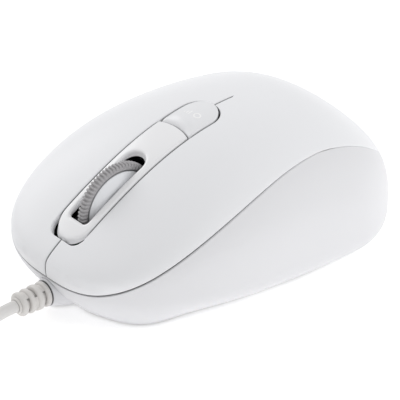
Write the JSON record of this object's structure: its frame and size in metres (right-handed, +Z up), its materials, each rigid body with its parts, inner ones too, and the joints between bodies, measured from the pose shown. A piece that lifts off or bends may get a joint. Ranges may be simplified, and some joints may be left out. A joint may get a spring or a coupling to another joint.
{
  "type": "computer mouse",
  "caption": "Wired optical mouse with two flexing main buttons, a pressable ribbed scroll wheel, a resolution key, and a corded USB plug.",
  "frame": {"origin": "on the table, under the middle of the mouse body", "axes": "+Z up, -Y towards the front where the cable leaves, +Y towards the palm, +X towards the left button"},
  "size_m": [0.0738, 0.1942, 0.0387],
  "materials": {
    "shell_white": "fine satin texture",
    "base_white": "fine satin texture",
    "panel_white": "smooth, soft gloss",
    "wheel_white": "smooth, soft gloss",
    "tyre_grey": "moulded ribs",
    "relief_white": "matt soft plastic",
    "cable_white": "matt soft plastic",
    "foot_grey": "slick low-friction sheet",
    "frame_black": "moulded",
    "board_green": "solder mask",
    "switch_black": "moulded",
    "plunger_white": "smooth",
    "chip_black": "moulded epoxy",
    "lens_clear": "polished clear plastic",
    "lamp_red": "tinted clear plastic",
    "can_black": "sleeved can",
    "connector_cream": "moulded",
    "screw_steel": "zinc plated",
    "usb_steel": "bright plated sheet",
    "contact_gold": "gold flash"
  },
  "bodies": {
    "mouse": {"base_shell": "base_white", "top_cover": "shell_white", "centre_panel": "panel_white", "scroll_encoder": "frame_black", "wheel_bracket": "frame_black", "cradle_spring": "screw_steel", "main_board": "board_green", "left_switch": "switch_black", "right_switch": "switch_black", "middle_switch": "switch_black", "dpi_switch": "screw_steel", "sensor_chip": "chip_black", "controller_chip": "chip_black", "sensor_lens": "lens_clear", "sensor_lamp": "lamp_red", "lamp_clip": "frame_black", "capacitors": "can_black", "lead_connector": "connector_cream", "front_foot": "foot_grey", "rear_foot": "foot_grey", "case_screws": "screw_steel", "board_screws": "screw_steel", "strain_relief": "relief_white", "inner_lead": "cable_white", "usb_cable": "cable_white", "cable_coil": "cable_white", "usb_overmould": "relief_white", "usb_shell": "usb_steel", "usb_tongue": "connector_cream", "usb_contacts": "contact_gold"},
    "left_key": {"left_button": "shell_white"},
    "right_key": {"right_button": "shell_white"},
    "resolution_key": {"dpi_button": "shell_white"},
    "wheel_carrier": {"wheel_cradle": "frame_black"},
    "wheel": {"wheel_hub": "wheel_white", "wheel_tyre": "tyre_grey", "encoder_rotor": "plunger_white"},
    "left_click_plunger": {"left_plunger": "plunger_white"},
    "right_click_plunger": {"right_plunger": "plunger_white"},
    "middle_click_plunger": {"middle_plunger": "plunger_white"},
    "resolution_plunger": {"dpi_plunger": "switch_black"}
  },
  "joints": [
    {"name": "left_click", "type": "hinge", "parent": "mouse", "child": "left_key", "pos_m": [0, 0.016, 0.031], "axis": [1, 0, 0], "range_deg": [0, 0.4], "stiffness_Nm_per_rad": 2, "springref_deg": -0.57},
    {"name": "right_click", "type": "hinge", "parent": "mouse", "child": "right_key", "pos_m": [0, 0.016, 0.031], "axis": [1, 0, 0], "range_deg": [0, 0.4], "stiffness_Nm_per_rad": 2, "springref_deg": -0.57},
    {"name": "wheel_press", "type": "hinge", "parent": "mouse", "child": "wheel_carrier", "pos_m": [-0.01, -0.0289, 0.0145], "axis": [0, 1, 0], "range_deg": [0, 2], "stiffness_Nm_per_rad": 0.15, "springref_deg": -1.15, "deforming": ["cradle_spring"]},
    {"name": "wheel_spin", "type": "hinge", "parent": "wheel_carrier", "child": "wheel", "pos_m": [0, -0.0289, 0.0212], "axis": [1, 0, 0], "continuous": true},
    {"name": "resolution_press", "type": "slide", "parent": "mouse", "child": "resolution_key", "axis": [0, 0, -1], "range_m": [0, 0.0004], "stiffness_N_per_m": 2000, "springref_m": -0.0002},
    {"name": "left_plunger_travel", "type": "slide", "parent": "mouse", "child": "left_click_plunger", "axis": [0, 0, -1], "range_m": [0, 0.00036]},
    {"name": "right_plunger_travel", "type": "slide", "parent": "mouse", "child": "right_click_plunger", "axis": [0, 0, -1], "range_m": [0, 0.00036]},
    {"name": "middle_plunger_travel", "type": "slide", "parent": "mouse", "child": "middle_click_plunger", "axis": [0, 0, -1], "range_m": [0, 0.0009]},
    {"name": "resolution_plunger_travel", "type": "slide", "parent": "mouse", "child": "resolution_plunger", "axis": [0, 0, -1], "range_m": [0, 0.0004]}
  ],
  "couplings": [
    {"joint": "left_plunger_travel", "follows": "left_click", "m_per_rad": 0.043},
    {"joint": "right_plunger_travel", "follows": "right_click", "m_per_rad": 0.043},
    {"joint": "middle_plunger_travel", "follows": "wheel_press", "m_per_rad": 0.0204},
    {"joint": "resolution_plunger_travel", "follows": "resolution_press", "ratio": 1}
  ]
}
